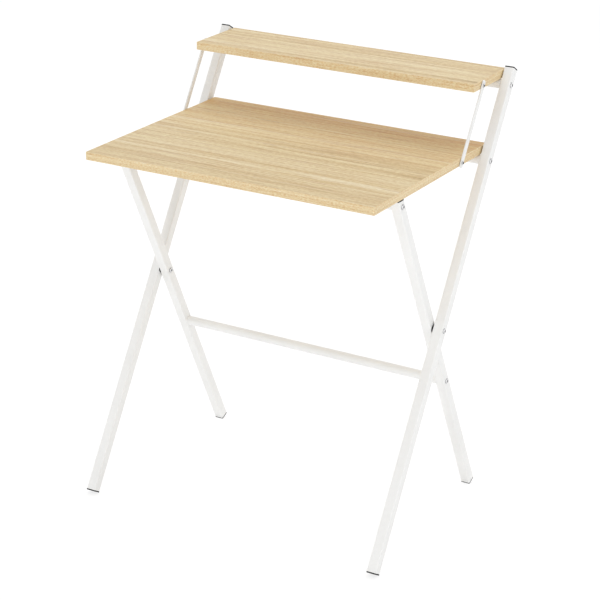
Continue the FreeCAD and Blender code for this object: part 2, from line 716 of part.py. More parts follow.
# Tall legs: from the front feet up past the crossing and both pivot bars.
right_tall_leg = leg_tube("right_tall_leg", "Layout.tall_middle_x", "Layout.desktop_pivot_y",
                          "Layout.desktop_pivot_z", "-Sizes.tall_lean", "Layout.tall_foot_reach",
                          "Sizes.pivot_spacing + Sizes.tall_top_reach")
cross_holes(right_tall_leg, [
    ("0", "Layout.bolt_hole_radius"),
    ("Sizes.pivot_spacing", "Layout.bolt_hole_radius"),
    ("-Sizes.crossing_drop", "Layout.bolt_hole_radius"),
])
nodes += [right_tall_leg, mirror(right_tall_leg, "left_tall_leg")]

tall_top_cap = end_cap("tall_top_cap", "Layout.tall_middle_x", "Layout.tall_top_y", "Layout.tall_top_z",
                       "-Sizes.tall_lean")
front_foot_cap = end_cap("front_foot_cap", "Layout.tall_middle_x", "Layout.tall_foot_y",
                         "Layout.tall_foot_z", f"{FULL_TURN / 2} - Sizes.tall_lean")
nodes += [both_sides("tall_leg_top_caps", [tall_top_cap]), both_sides("front_foot_caps", [front_foot_cap])]

# Pivot bars: fixed between the tall legs, one bolt and plug at each end.
PIVOTS = {
    "desktop": ("Layout.desktop_pivot_y", "Layout.desktop_pivot_z"),
    "shelf": ("Layout.shelf_pivot_y", "Layout.shelf_pivot_z"),
}
for board, place in PIVOTS.items():
    nodes.append(round_bar(f"{board}_pivot_bar", *place, "Layout.tall_inner_x"))
nodes.append(both_sides("pivot_bar_plugs", [
    bar_plug(f"{board}_pivot_plug", "Layout.tall_inner_x", *place) for board, place in PIVOTS.items()
]))
nodes.append(both_sides("pivot_bar_bolts", [
    button_bolt(f"{board}_pivot_bolt", "Layout.tall_outer_x", *place) for board, place in PIVOTS.items()
]))

# Crossing pivots: bolt from outside, washer between the legs, sleeve nut from inside.
CROSSING = ("Layout.crossing_y", "Layout.crossing_z")
nodes.append(both_sides("crossing_bolts", [button_bolt("crossing_bolt", "Layout.tall_outer_x", *CROSSING)]))
nodes.append(both_sides("crossing_washers", [
    ring("crossing_washer", "Layout.tall_inner_x", *CROSSING, "Sizes.washer_diameter / 2",
         "Layout.sleeve_hole_radius", "Sizes.leg_gap - Sizes.seat_gap"),
]))
nodes.append(both_sides("crossing_sleeve_nuts", [sleeve_nut("crossing_sleeve_nut")]))

# Short legs: from the rear feet up to level tops under the desktop.
right_short_leg = leg_tube("right_short_leg", "Layout.short_middle_x", *CROSSING, "Sizes.short_lean",
                           "Layout.short_foot_reach", level_height("-Layout.tube_half", "Layout.short_top_z"))
level_cut(right_short_leg, "top", "Layout.short_top_z", above=True)
cross_holes(right_short_leg, [
    ("0", "Layout.sleeve_hole_radius"),
    ("Layout.upper_bar_reach", "Layout.bolt_hole_radius"),
    ("-Sizes.lower_bar_reach", "Layout.bolt_hole_radius"),
])
nodes += [right_short_leg, mirror(right_short_leg, "left_short_leg")]

rear_foot_cap = end_cap("rear_foot_cap", "Layout.short_middle_x", "Layout.short_foot_y",
                        "Layout.short_foot_z", f"{FULL_TURN / 2} + Sizes.short_lean")
nodes.append(both_sides("rear_foot_caps", [rear_foot_cap]))

# Pads: level plastic caps on the short legs, which the desktop rests on.
rest_pad = new_body("rest_pad", "Layout.short_middle_x", *CROSSING, "Sizes.short_lean")
pad_low = level_height("Layout.tube_half", "Layout.short_top_z")
pad_high = level_height("-Layout.tube_half", "Layout.pad_top_z")
flange_sketch = new_sketch(rest_pad, "flange", "XY_Plane", pad_low)
rounded_square(flange_sketch, "Layout.tube_half", "Sizes.tube_corner_radius")
pad(rest_pad, flange_sketch, f"{pad_high} - {pad_low}")
level_cut(rest_pad, "underside", "Layout.short_top_z", above=False)
plug_low = f"{pad_low} - Sizes.rest_pad_plug_depth"
cap_plug(rest_pad, plug_low, f"{pad_high} - ({plug_low})", reverse=False)
level_cut(rest_pad, "top", "Layout.pad_top_z", above=True)
nodes.append(both_sides("short_leg_rest_pads", [rest_pad]))

# Cross bars: tie the two short legs together at the top and below the crossing.
CROSS_BARS = {
    "upper": ("Layout.upper_bar_y", "Layout.upper_bar_z"),
    "lower": ("Layout.lower_bar_y", "Layout.lower_bar_z"),
}
for height, place in CROSS_BARS.items():
    nodes.append(round_bar(f"{height}_crossbar", *place, "Layout.short_inner_x"))
nodes.append(both_sides("crossbar_plugs", [
    bar_plug(f"{height}_bar_plug", "Layout.short_inner_x", *place) for height, place in CROSS_BARS.items()
]))
nodes.append(both_sides("crossbar_bolts", [
    button_bolt(f"{height}_bar_bolt", "Layout.short_outer_x", *place) for height, place in CROSS_BARS.items()
]))

# Desktop: board, band, hinge saddles on the pivot bar and clips on the upper bar.
SADDLE_PLACES = {
    board: [("Sizes.saddle_x", f"({pivot[0]} + Sizes.saddle_screw_reach)"),
            ("Sizes.saddle_x", f"({pivot[0]} - Sizes.saddle_screw_reach)")]
    for board, pivot in PIVOTS.items()
}
CLIP_PLACES = [("Sizes.clip_x", "(Layout.upper_bar_y + Sizes.clip_screw_reach)"),
               ("Sizes.clip_x", "(Layout.upper_bar_y - Sizes.clip_screw_reach)")]
BOARDS = {
    "desktop": ("Layout.desktop_rear_y", "Sizes.desktop_depth", "Layout.desktop_underside",
                "Layout.desktop_link_y"),
    "shelf": ("Layout.shelf_rear_y", "Sizes.shelf_depth", "Layout.shelf_underside", "Layout.shelf_link_y"),
}
SCREW_PLACES = {"desktop": SADDLE_PLACES["desktop"] + CLIP_PLACES, "shelf": SADDLE_PLACES["shelf"]}
for board, place in BOARDS.items():
    underside = place[2]
    pivot_y = PIVOTS[board][0]
    nodes.append(board_core(f"{board}_board", *place, SCREW_PLACES[board]))
    nodes.append(edge_band(f"{board}_edge_band", *place))
    nodes.append(both_sides(f"{board}_hinge_saddles", [hinge_saddle(f"{board}_saddle", pivot_y, underside)]))
    nodes.append(both_sides(f"{board}_saddle_screws", screw_pair(
        f"{board}_saddle_screw", "Sizes.saddle_x", pivot_y, "Sizes.saddle_screw_reach", underside,
        "Sizes.saddle_flange")))
nodes.append(both_sides("desktop_bar_clips", [bar_clip("bar_clip")]))
nodes.append(both_sides("bar_clip_screws", screw_pair(
    "clip_screw", "Sizes.clip_x", "Layout.upper_bar_y", "Sizes.clip_screw_reach", "Layout.desktop_underside",
    "Sizes.clip_flange")))

# Links: join the edges of the desktop and the shelf, so that the boards swing together.
right_link = link_bar("right_link")
nodes += [right_link, mirror(right_link, "left_link")]
LINK_PIVOTS = {
    "lower": ("Layout.desktop_link_y", "Layout.desktop_link_z"),
    "upper": ("Layout.shelf_link_y", "Layout.shelf_link_z"),
}
for height, place in LINK_PIVOTS.items():
    nodes.append(both_sides(f"{height}_link_screws", [link_screw(f"{height}_link_screw", *place)]))
    nodes.append(both_sides(f"{height}_link_washers", [link_washer(f"{height}_link_washer", *place)]))

doc.recompute()

# Every feature has to be sound, and every pocket has to take something away, before a file is written.
for item in doc.Objects:
    if "Invalid" in item.State or "Error" in item.State:
        raise RuntimeError(f"{item.Label} failed: {item.State}")
    if item.TypeId == "PartDesign::Pocket" and item.Shape.Volume >= item.BaseFeature.Shape.Volume:
        raise RuntimeError(f"{item.Label} cuts nothing")
for node in nodes:
    if node.Shape.isNull() or not node.Shape.isValid():
        raise RuntimeError(f"{node.Label} has no valid shape")

os.makedirs("parts", exist_ok=True)
for node in nodes:
    node.Shape.exportStep(f"parts/{node.Label}.step")
print(len(nodes), "pieces written")
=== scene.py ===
import json
import bpy
import numpy as np
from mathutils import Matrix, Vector


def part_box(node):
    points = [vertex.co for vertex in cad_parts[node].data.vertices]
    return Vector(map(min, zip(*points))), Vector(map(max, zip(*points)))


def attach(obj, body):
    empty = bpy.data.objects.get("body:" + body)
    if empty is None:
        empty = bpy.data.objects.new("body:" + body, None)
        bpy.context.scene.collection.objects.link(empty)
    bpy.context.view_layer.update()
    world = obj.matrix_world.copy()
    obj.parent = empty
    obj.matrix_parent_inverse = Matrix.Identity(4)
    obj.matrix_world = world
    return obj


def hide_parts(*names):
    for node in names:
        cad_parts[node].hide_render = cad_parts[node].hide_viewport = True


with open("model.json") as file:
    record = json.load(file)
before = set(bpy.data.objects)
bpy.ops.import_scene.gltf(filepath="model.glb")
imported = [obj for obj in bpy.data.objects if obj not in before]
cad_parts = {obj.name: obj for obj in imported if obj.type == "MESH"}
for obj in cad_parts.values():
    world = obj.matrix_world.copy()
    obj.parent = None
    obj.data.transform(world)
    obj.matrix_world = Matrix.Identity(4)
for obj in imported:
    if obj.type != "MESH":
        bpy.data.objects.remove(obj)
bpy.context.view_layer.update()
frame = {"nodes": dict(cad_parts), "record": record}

# Tall legs: two lengths of square steel tube with round corners, sawn off square and coated with white
# powder that is baked to a satin skin. They lean back from the front feet and carry both boards on bars
# between them.
hinges = {joint["name"]: np.array(joint["pos_m"]) for joint in frame["record"]["behaviour"]["joints"]}
across = np.array([1.0, 0.0, 0.0])
tube_half = 0.0100
tube_corner = 0.0020
tube_corner_steps = 9
side_lead = 0.0004
sawn_bevel = 0.0003
tall_leg_x = 0.3325
tall_turn = np.radians(-31.5)
tall_foot_reach = 0.82971
tall_top_reach = 0.18950
coat_shades = [(0.30, (0.850, 0.850, 0.840)), (0.70, (0.884, 0.886, 0.878))]
coat_roughness = (0.34, 0.46)
coat_cloud = (14.0, 14.0, 14.0)
coat_peel = (650.0, 650.0, 650.0)
coat_relief = 0.00004


def square_rings(inset):
    """Rings round a square tube, one for each inset from its outside. Every corner is a quarter circle
    about a centre on the diagonal, with one point more on the flat side before it and after it."""
    bend = np.concatenate([[0.0], np.linspace(0.0, 90.0, tube_corner_steps), [90.0]])
    slide = np.tile(np.concatenate([[-side_lead], np.zeros(tube_corner_steps), [side_lead]]), 4)
    quarter = np.repeat(90.0 * np.arange(4), bend.size)
    angle = np.radians(quarter + np.tile(bend, 4))
    diagonal = np.radians(quarter + 45.0)
    reach = np.sqrt(2.0) * (tube_half - tube_corner)
    radius = tube_corner - np.asarray(inset)[:, None]
    first = reach * np.cos(diagonal) + radius * np.cos(angle) - slide * np.sin(angle)
    second = reach * np.sin(diagonal) + radius * np.sin(angle) + slide * np.cos(angle)
    return np.stack([first, second], axis=-1)


def leaning(turn):
    """Directions square to a line and along it, for a line that is upright until it turns about X."""
    through = np.array([0.0, np.cos(turn), np.sin(turn)])
    along = np.array([0.0, -np.sin(turn), np.cos(turn)])
    return through, along


def carried(rings, height, place, turn):
    """Rings set along a leaning line: a ring's first measure goes across the desk, its second square to
    the line, and its height along the line."""
    through, along = leaning(turn)
    height = np.broadcast_to(height, rings.shape[:2])
    return place + rings[..., :1] * across + rings[..., 1:] * through + height[..., None] * along


def leg_shell(place, turn, foot_reach, top_reach):
    """Square tube carried from its foot to its top, with both sawn ends bevelled. The top reach is one
    height or a function of the ring's second measure, for an end that is sawn at a slant."""
    rings = square_rings([sawn_bevel, 0.0, 0.0, 0.0, 0.0, sawn_bevel])
    top = top_reach(rings[..., 1]) if callable(top_reach) else np.full(rings.shape[:2], top_reach)
    from_foot = np.array([0.0, sawn_bevel, sawn_bevel + side_lead])[:, None]
    height = np.concatenate([from_foot - foot_reach + np.zeros_like(top[:3]), top[3:] - from_foot[::-1]])
    return carried(rings, height, place, turn)


def mirrored(shell):
    """The same shell on the desk's other side. Its rings run backwards, so that its faces still look
    outwards."""
    return (shell * (-1.0, 1.0, 1.0))[:, ::-1]


def new_piece(name, shells, finish, crease=32.0):
    """Mesh of closed shells. A shell is a grid of points, ring after ring: four sided faces join each ring
    to the next, one face fills the first ring and one the last, and edges bent more than the crease, in
    degrees, stay sharp."""
    points, faces, first = [], [], 0
    for shell in shells:
        rings, around = shell.shape[:2]
        ring, step = np.mgrid[0:rings - 1, 0:around]
        here, after = ring * around + step, ring * around + (step + 1) % around
        quads = first + np.stack([here, after, after + around, here + around], axis=-1).reshape(-1, 4)
        end = first + np.arange(around)
        faces += quads.tolist() + [end[::-1].tolist(), (end + (rings - 1) * around).tolist()]
        points.append(shell.reshape(-1, 3))
        first += rings * around
    mesh = bpy.data.meshes.new(name)
    mesh.from_pydata(np.concatenate(points).tolist(), [], faces)
    mesh.shade_smooth()
    mesh.set_sharp_from_angle(angle=np.radians(crease))
    mesh.materials.append(finish)
    piece = bpy.data.objects.new(name, mesh)
    bpy.context.scene.collection.objects.link(piece)
    return piece


def fitted(piece, node, body):
    """Puts a piece in the place of a CAD node, which it hides, and hangs the piece on a body."""
    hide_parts(node)
    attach(piece, body)


def new_finish(name):
    """Material with its node tree, its shader and the object's own coordinates."""
    material = bpy.data.materials.new(name)
    material.use_nodes = True
    tree = material.node_tree
    place = tree.nodes.new("ShaderNodeTexCoord").outputs["Object"]
    return material, tree, tree.nodes["Principled BSDF"], place


def speckle(tree, place, stretch, detail=2.0, roughness=0.5, offset=(0.0, 0.0, 0.0)):
    """Noise with its own number of swells in a metre along each axis."""
    mapping = tree.nodes.new("ShaderNodeMapping")
    mapping.inputs["Location"].default_value = offset
    mapping.inputs["Scale"].default_value = stretch
    texture = tree.nodes.new("ShaderNodeTexNoise")
    texture.inputs["Scale"].default_value = 1.0
    texture.inputs["Detail"].default_value = detail
    texture.inputs["Roughness"].default_value = roughness
    tree.links.new(place, mapping.inputs["Vector"])
    tree.links.new(mapping.outputs["Vector"], texture.inputs["Vector"])
    return texture.outputs["Fac"]


def shades(tree, value, stops):
    """Colours read off a scale of (place, colour) stops, in rising order."""
    node = tree.nodes.new("ShaderNodeValToRGB")
    elements = node.color_ramp.elements
    for place, _ in stops[2:]:
        elements.new(place)
    for element, (place, colour) in zip(elements, stops):
        element.position = place
        element.color = (*colour, 1.0)
    tree.links.new(value, node.inputs["Fac"])
    return node.outputs["Color"]


def levels(tree, value, low, high, start=0.3, end=0.7):
    """Straight scale from a noise value to a range of numbers, held at its ends."""
    node = tree.nodes.new("ShaderNodeMapRange")
    node.inputs["From Min"].default_value = start
    node.inputs["From Max"].default_value = end
    node.inputs["To Min"].default_value = low
    node.inputs["To Max"].default_value = high
    tree.links.new(value, node.inputs["Value"])
    return node.outputs["Result"]


def relief(tree, shader, height, distance):
    """Small heights and hollows in the surface."""
    node = tree.nodes.new("ShaderNodeBump")
    node.inputs["Distance"].default_value = distance
    tree.links.new(height, node.inputs["Height"])
    tree.links.new(node.outputs["Normal"], shader.inputs["Normal"])


white_coat, tree, shader, place = new_finish("white_powder_coat")
cloud = speckle(tree, place, coat_cloud, detail=3.0)
peel = speckle(tree, place, coat_peel)
tree.links.new(shades(tree, cloud, coat_shades), shader.inputs["Base Color"])
tree.links.new(levels(tree, peel, *coat_roughness), shader.inputs["Roughness"])
relief(tree, shader, peel, coat_relief)

tall_place = hinges["desktop_fold"] + tall_leg_x * across
tall_leg = leg_shell(tall_place, tall_turn, tall_foot_reach, tall_top_reach)
for hand, shell in (("right", tall_leg), ("left", mirrored(tall_leg))):
    tube = new_piece(f"{hand}_tall_tube", [shell], white_coat)
    fitted(tube, f"{hand}_tall_leg", "tall_frame")

# Caps of the tall legs: black moulded plastic plugs, pushed into the tube's ends. Only the flange shows,
# as wide as the tube and rounded along its edge; the lower one is the foot that the leg stands on.
cap_flange = 0.0025
cap_round = 0.0008
cap_round_steps = 7
cap_seam = 0.00015
plastic_shades = [(0.30, (0.005, 0.005, 0.006)), (0.70, (0.011, 0.011, 0.012))]
plastic_roughness = (0.52, 0.70)
plastic_sheen = 0.22
plastic_cloud = (90.0, 90.0, 90.0)
plastic_spark = (1900.0, 1900.0, 1900.0)
plastic_relief = 0.00003


def cap_shell(place, turn):
    """Flange carried out of the tube's end: straight sides, then a quarter circle drawn in to its flat
    face."""
    bend = np.radians(np.linspace(0.0, 90.0, cap_round_steps))
    inset = np.concatenate([[cap_seam, 0.0], cap_round * (1.0 - np.cos(bend))])
    height = np.concatenate([[0.0, cap_seam], cap_flange - cap_round + cap_round * np.sin(bend)])
    return carried(square_rings(inset), height[:, None], place, turn)


def tube_end(place, turn, reach):
    """Point on a leg's middle line at a reach from a place on it."""
    through, along = leaning(turn)
    return place + reach * along


black_plastic, tree, shader, place = new_finish("black_plastic")
cloud = speckle(tree, place, plastic_cloud, detail=3.0)
spark = speckle(tree, place, plastic_spark)
tree.links.new(shades(tree, cloud, plastic_shades), shader.inputs["Base Color"])
tree.links.new(levels(tree, spark, *plastic_roughness), shader.inputs["Roughness"])
shader.inputs["Specular IOR Level"].default_value = plastic_sheen
relief(tree, shader, spark, plastic_relief)

top_cap = cap_shell(tube_end(tall_place, tall_turn, tall_top_reach), tall_turn)
top_caps = new_piece("tall_top_flanges", [top_cap, mirrored(top_cap)], black_plastic)
fitted(top_caps, "tall_leg_top_caps", "tall_frame")
front_foot = cap_shell(tube_end(tall_place, tall_turn, -tall_foot_reach), tall_turn + np.pi)
front_feet = new_piece("front_foot_flanges", [front_foot, mirrored(front_foot)], black_plastic)
fitted(front_feet, "front_foot_caps", "tall_frame")

# Pivot bars: round steel tube with the same white coat, bolted between the tall legs. The boards' straps
# turn on them, the desktop's on the lower bar and the shelf's on the upper one.
round_steps = 72
bar_bevel = 0.0003


def turned(along, radius, place):
    """Rings turned about a line across the desk. Each has its own place along the line and its own radius,
    which may change round the ring."""
    angle = np.linspace(0.0, 2.0 * np.pi, round_steps, endpoint=False)
    radius = np.broadcast_to(radius, (len(along), round_steps))
    along = np.broadcast_to(np.asarray(along)[:, None], radius.shape)
    return place + np.stack([along, radius * np.cos(angle), radius * np.sin(angle)], axis=-1)


def node_box(node):
    """Low and high corner of the box round a CAD node."""
    low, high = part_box(node)
    return np.array(low), np.array(high)


def round_bar(node):
    """Bar in the box of its node, with bevelled ends."""
    low, high = node_box(node)
    radius = (high[2] - low[2]) / 2.0
    half_length = (high[0] - low[0]) / 2.0
    along = np.array([-half_length, bar_bevel - half_length, half_length - bar_bevel, half_length])
    drawn_in = np.array([bar_bevel, 0.0, 0.0, bar_bevel])[:, None]
    return turned(along, radius - drawn_in, (low + high) / 2.0)


for board in ("desktop", "shelf"):
    bar = new_piece(f"{board}_pivot_tube", [round_bar(f"{board}_pivot_bar")], white_coat)
    fitted(bar, f"{board}_pivot_bar", "tall_frame")

# Bolts of the tall legs: zinc plated steel with low button heads and a hexagon socket. The upper two on
# each side hold the pivot bars, the lowest one is the pin of the crossing.
tall_outer_x = tall_leg_x + tube_half
bolt_head = {"radius": 0.0055, "top": 0.0032, "height": 0.0024, "rim": 0.0007, "socket": 0.0040}
socket_depth = 0.0013
head_bevel = 0.00025
dome_steps = 8
rim_rings = 3
socket_rings = 3
zinc_shades = [(0.30, (0.60, 0.60, 0.61)), (0.70, (0.74, 0.74, 0.745))]
zinc_roughness = (0.24, 0.40)
zinc_cloud = (260.0, 260.0, 260.0)
zinc_scratches = (900.0, 4200.0, 900.0)
zinc_relief = 0.00002
# Painted shade on the bolt heads: a dull dark finish on the rim and in the socket, for the shadow round the
# head and the shade in the socket.
painted_shade_cloud = (700.0, 700.0, 700.0)
bolt_painted_shade_tones = [(0.30, (0.220, 0.220, 0.224)), (0.70, (0.320, 0.320, 0.320))]


def button_head(place, radius, top, height, rim, socket):
    """Head turned from its seat outwards: a bevelled edge, a short rim, a circle's arc to the flat top, and
    a socket whose radius runs round a hexagon."""
    angle = np.linspace(0.0, 360.0, round_steps, endpoint=False)
    hexagon = socket / 2.0 / np.cos(np.radians(angle % 60.0 - 30.0))
    centre = (height ** 2 + top ** 2 - rim ** 2 - radius ** 2) / (2.0 * (height - rim))
    swing = np.linspace(np.arctan2(radius, rim - centre), np.arctan2(top, height - centre), dome_steps)
    dome = np.hypot(top, height - centre)
    along = np.concatenate([
        [0.0, head_bevel],
        centre + dome * np.cos(swing),
        [height, height - head_bevel, height - socket_depth],
    ])
    outside = np.concatenate([[radius - head_bevel, radius], dome * np.sin(swing)])
    rings = np.concatenate([
        np.repeat(outside[:, None], round_steps, axis=1),
        [hexagon + head_bevel, hexagon, hexagon],
    ])
    return turned(along, rings, place)


zinc_plate, tree, shader, place = new_finish("zinc_plate")
cloud = speckle(tree, place, zinc_cloud, detail=4.0)
scratches = speckle(tree, place, zinc_scratches)
tree.links.new(shades(tree, cloud, zinc_shades), shader.inputs["Base Color"])
tree.links.new(levels(tree, cloud, *zinc_roughness), shader.inputs["Roughness"])
shader.inputs["Metallic"].default_value = 1.0
relief(tree, shader, scratches, zinc_relief)


def painted_shade_finish(name, tones):
    """Dull dark finish in a range of tones, laid on metal as painted shade."""
    material, tree, shader, place = new_finish(name)
    cloud = speckle(tree, place, painted_shade_cloud)
    tree.links.new(shades(tree, cloud, tones), shader.inputs["Base Color"])
    tree.links.new(levels(tree, cloud, *plastic_roughness), shader.inputs["Roughness"])
    relief(tree, shader, cloud, zinc_relief)
    return material


def bolt_heads(name, heads, shade_finish):
    """Heads on the right and their mirror images on the left. The faces of a shell are counted ring after
    ring, with its seat and its last face at the end; those of the rim and inside the socket take a dark
    finish, painted shade for the shadow round the head and the shade in the socket."""
    piece = new_piece(name, heads + [mirrored(head) for head in heads], zinc_plate)
    rings, around = heads[0].shape[:2]
    count = (rings - 1) * around + 2
    number = np.arange(2 * len(heads) * count) % count
    painted_shade_faces = (number < rim_rings * around) | (number >= (rings - socket_rings) * around)
    piece.data.materials.append(shade_finish)
    piece.data.polygons.foreach_set("material_index", painted_shade_faces.astype(np.int32))
    return piece


# Painted shade for the bolts: mid grey on their rims and in their sockets.
bolt_painted_shade = painted_shade_finish("bolt_painted_shade", bolt_painted_shade_tones)
for name, node, joints in (("pivot_bolt_heads", "pivot_bar_bolts", ("desktop_fold", "shelf_fold")),
                           ("crossing_bolt_heads", "crossing_bolts", ("leg_fold",))):
    heads = [button_head(hinges[joint] + tall_outer_x * across, **bolt_head) for joint in joints]
    fitted(bolt_heads(name, heads, bolt_painted_shade), node, "tall_frame")

# Crossing: a black nylon washer keeps the two legs apart, and a sleeve nut comes through the short leg
# from inside to meet the bolt. Plugs with a thread sit hidden in the pivot bars' ends.
sleeve_seat_x = -0.2991


def dressed(node, finish):
    """Gives a CAD node that keeps its own shape a finish."""
    frame["nodes"][node].material_slots[0].material = finish


sleeve_head = button_head(hinges["leg_fold"] + sleeve_seat_x * across, **bolt_head)
sleeve_heads = bolt_heads("crossing_nut_heads", [sleeve_head], bolt_painted_shade)
fitted(sleeve_heads, "crossing_sleeve_nuts", "tall_frame")
dressed("crossing_washers", black_plastic)
dressed("pivot_bar_plugs", zinc_plate)

# Short legs: the same tube, crossing the tall legs on the inside. The top is sawn level under the desktop
# and carries a black pad that the board rests on; the rear foot is a cap like those of the tall legs.
short_leg_x = 0.3093
short_turn = np.radians(25.3)
short_foot_reach = 0.45706
short_top_z = 0.7223
short_place = hinges["leg_fold"] + short_leg_x * across


def level_top(second):
    """Height along the short leg at which its sides reach the level saw cut."""
    return (short_top_z - short_place[2] - second * np.sin(short_turn)) / np.cos(short_turn)


short_leg = leg_shell(short_place, short_turn, short_foot_reach, level_top)
for hand, shell in (("right", short_leg), ("left", mirrored(short_leg))):
    tube = new_piece(f"{hand}_short_tube", [shell], white_coat)
    fitted(tube, f"{hand}_short_leg", "short_frame")
rear_foot = cap_shell(tube_end(short_place, short_turn, -short_foot_reach), short_turn + np.pi)
rear_feet = new_piece("rear_foot_flanges", [rear_foot, mirrored(rear_foot)], black_plastic)
fitted(rear_feet, "rear_foot_caps", "short_frame")
dressed("short_leg_rest_pads", black_plastic)

# Cross bars: two round bars that tie the short legs together, one close under the desktop's front and one
# below the crossing, each with a bolt through the leg at both ends.
short_outer_x = short_leg_x + tube_half
bar_heads = []
for height in ("upper", "lower"):
    node = f"{height}_crossbar"
    bar = new_piece(f"{height}_cross_tube", [round_bar(node)], white_coat)
    fitted(bar, node, "short_frame")
    low, high = node_box(node)
    bar_heads.append(button_head((low + high) / 2.0 + short_outer_x * across, **bolt_head))
fitted(bolt_heads("crossbar_bolt_heads", bar_heads, bolt_painted_shade), "crossbar_bolts", "short_frame")
dressed("crossbar_plugs", zinc_plate)

# Boards: particle board faced on both sides with a printed oak laminate. The grain runs straight across
# the desk in long pale and tan streaks, broken by short brown dashes and fine pores pressed into the face.
# The desktop's colour turns warmer towards its back, which is painted warm shade under the shelf, and the
# shelf's colour is a little darker, which is painted shade against the stronger light on the shelf.
oak_bands = [
    (0.32, (0.604, 0.452, 0.240)),
    (0.50, (0.654, 0.510, 0.290)),
    (0.68, (0.698, 0.560, 0.338)),
]
# Painted warm shade: the desktop's ground tones under the shelf, redder and less blue than the front ones.
oak_painted_warm_shade_bands = [
    (0.32, (0.706, 0.474, 0.204)),
    (0.50, (0.748, 0.518, 0.236)),
    (0.68, (0.782, 0.556, 0.268)),
]
# Painted shade: the shelf's ground tones, a little darker than the desktop's, against the stronger light on
# it.
oak_shelf_painted_shade_bands = [
    (0.32, (0.570, 0.422, 0.218)),
    (0.50, (0.620, 0.476, 0.262)),
    (0.68, (0.662, 0.522, 0.304)),
]
# Depths along Y between which the painted shade comes in.
oak_painted_shade_start = -0.03
oak_painted_shade_end = 0.15
oak_sway = 0.0016
oak_sway_stretch = (3.0, 6.0, 6.0)
oak_grain = {
    "bands": {"stretch": (0.6, 15.0, 15.0), "detail": 1.0},
    "streaks": {"stretch": (0.35, 60.0, 60.0), "detail": 4.0, "roughness": 0.85},
    "dashes": {"stretch": (4.0, 220.0, 220.0), "detail": 2.0, "roughness": 0.7},
    "specks": {"stretch": (110.0, 320.0, 320.0)},
    "lines": {"stretch": (9.0, 560.0, 560.0), "detail": 3.0, "roughness": 0.6},
    "pale_streaks": {"stretch": (1.3, 125.0, 125.0), "detail": 1.0, "offset": (7.0, 3.0, 1.0)},
    "brown_dashes": {"stretch": (11.0, 170.0, 170.0), "detail": 1.0, "offset": (2.0, 9.0, 5.0)},
    "pores": {"stretch": (46.0, 1250.0, 1250.0), "detail": 1.0},
}
oak_tones = {
    "streaks": [(0.34, (0.37, 0.39, 0.33)), (0.50, (0.50, 0.50, 0.50)), (0.66, (0.60, 0.595, 0.635))],
    "dashes": [(0.32, (0.35, 0.36, 0.325)), (0.48, (0.50, 0.50, 0.50)), (0.66, (0.585, 0.575, 0.605))],
    "specks": [(0.34, (0.42, 0.425, 0.405)), (0.66, (0.58, 0.575, 0.595))],
    "lines": [(0.30, (0.44, 0.43, 0.41)), (0.70, (0.56, 0.565, 0.57))],
}
oak_pale = (0.800, 0.715, 0.560)
oak_brown = (0.455, 0.300, 0.150)
oak_inks = {
    "pale_streaks": {"colour": oak_pale, "most": 0.42, "start": 0.61, "end": 0.71},
    "brown_dashes": {"colour": oak_brown, "most": 0.50, "start": 0.64, "end": 0.73},
    "pores": {"colour": oak_brown, "most": 0.38, "start": 0.62, "end": 0.70},
}
oak_roughness = (0.40, 0.56)
oak_relief = 0.00005


def laid_over(tree, kind, amount, below, above):
    """One colour laid over another, by an even amount or by a value."""
    node = tree.nodes.new("ShaderNodeMix")
    node.data_type = "RGBA"
    node.blend_type = kind
    for socket, value in (("Factor_Float", amount), ("A_Color", below), ("B_Color", above)):
        entry = next(item for item in node.inputs if item.identifier == socket)
        if isinstance(value, bpy.types.NodeSocket):
            tree.links.new(value, entry)
        else:
            entry.default_value = (*value, 1.0) if isinstance(value, tuple) else value
    return next(item for item in node.outputs if item.identifier == "Result_Color")


def swayed(tree, place, stretch, reach):
    """Coordinates pushed to and fro along Y, so that straight grain wavers."""
    push = tree.nodes.new("ShaderNodeCombineXYZ")
    tree.links.new(levels(tree, speckle(tree, place, stretch), -reach, reach), push.inputs["Y"])
    added = tree.nodes.new("ShaderNodeVectorMath")
    tree.links.new(place, added.inputs[0])
    tree.links.new(push.outputs["Vector"], added.inputs[1])
    return added.outputs["Vector"]


def grain_noises(tree, place, grain):
    """One noise for each layer of a grain, by the layer's name."""
    return {layer: speckle(tree, place, **noise) for layer, noise in grain.items()}


def oak_print(name, painted_shade_bands):
    """Oak laminate. Its ground tones change to those of the second set of bands between two depths, which
    paints shade into the colour towards the back. Streaks, dashes, specks and lines, each a noise drawn out
    along X, lighten and darken them, and pale and brown inks cover the crests of three more."""
    material, tree, shader, place = new_finish(name)
    parts = tree.nodes.new("ShaderNodeSeparateXYZ")
    tree.links.new(place, parts.inputs["Vector"])
    # Share of the painted shade, from nought at the nearer depth to one at the farther.
    rear = levels(tree, parts.outputs["Y"], 0.0, 1.0, oak_painted_shade_start, oak_painted_shade_end)
    grain = grain_noises(tree, swayed(tree, place, oak_sway_stretch, oak_sway), oak_grain)
    front_ground = shades(tree, grain["bands"], oak_bands)
    painted_shade_ground = shades(tree, grain["bands"], painted_shade_bands)
    colour = laid_over(tree, "MIX", rear, front_ground, painted_shade_ground)
    for layer, tones in oak_tones.items():
        colour = laid_over(tree, "OVERLAY", 1.0, colour, shades(tree, grain[layer], tones))
    for layer, ink in oak_inks.items():
        amount = levels(tree, grain[layer], 0.0, ink["most"], ink["start"], ink["end"])
        colour = laid_over(tree, "MIX", amount, colour, ink["colour"])
    tree.links.new(colour, shader.inputs["Base Color"])
    tree.links.new(levels(tree, grain["lines"], *oak_roughness), shader.inputs["Roughness"])
    relief(tree, shader, grain["lines"], oak_relief)
    return material


dressed("desktop_board", oak_print("oak_laminate", oak_painted_warm_shade_bands))
dressed("shelf_board", oak_print("shelf_oak_laminate", oak_shelf_painted_shade_bands))

